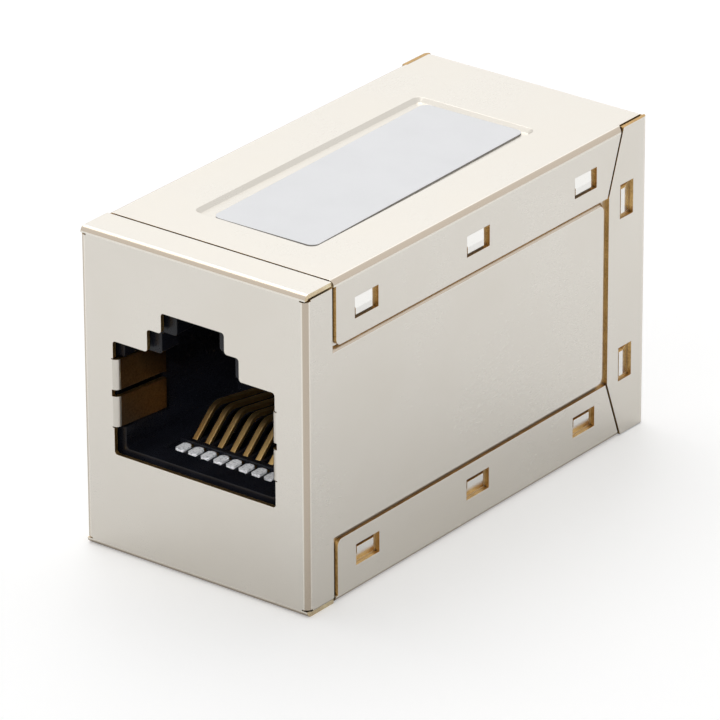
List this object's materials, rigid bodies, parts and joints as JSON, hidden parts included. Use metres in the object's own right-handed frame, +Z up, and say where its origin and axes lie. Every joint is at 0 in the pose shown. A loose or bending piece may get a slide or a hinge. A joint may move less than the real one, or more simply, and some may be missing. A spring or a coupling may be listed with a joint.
{
  "type": "rj45 inline coupler",
  "caption": "Shielded inline coupler with a jack in each end of a folded metal can, for joining network patch cables end to end.",
  "frame": {"origin": "centre of the can's footprint, on the surface it stands on", "axes": "+Z up, +Y from the front jack to the rear jack, +X to the right seen from the front jack"},
  "size_m": [0.0178, 0.036, 0.022],
  "materials": {
    "can_metal": "satin nickel plate",
    "label_film": "matt",
    "housing_plastic": "satin",
    "carrier_plastic": "matt",
    "contact_gold": "gold plate",
    "board_laminate": "satin"
  },
  "bodies": {
    "root": {"front_shell": "can_metal", "rear_shell": "can_metal", "label": "label_film", "circuit_board": "board_laminate", "front_housing": "housing_plastic", "rear_housing": "housing_plastic", "front_contact_carrier": "carrier_plastic", "rear_contact_carrier": "carrier_plastic", "front_contact_1": "contact_gold", "front_contact_2": "contact_gold", "front_contact_3": "contact_gold", "front_contact_4": "contact_gold", "front_contact_5": "contact_gold", "front_contact_6": "contact_gold", "front_contact_7": "contact_gold", "front_contact_8": "contact_gold", "rear_contact_1": "contact_gold", "rear_contact_2": "contact_gold", "rear_contact_3": "contact_gold", "rear_contact_4": "contact_gold", "rear_contact_5": "contact_gold", "rear_contact_6": "contact_gold", "rear_contact_7": "contact_gold", "rear_contact_8": "contact_gold"}
  },
  "joints": []
}
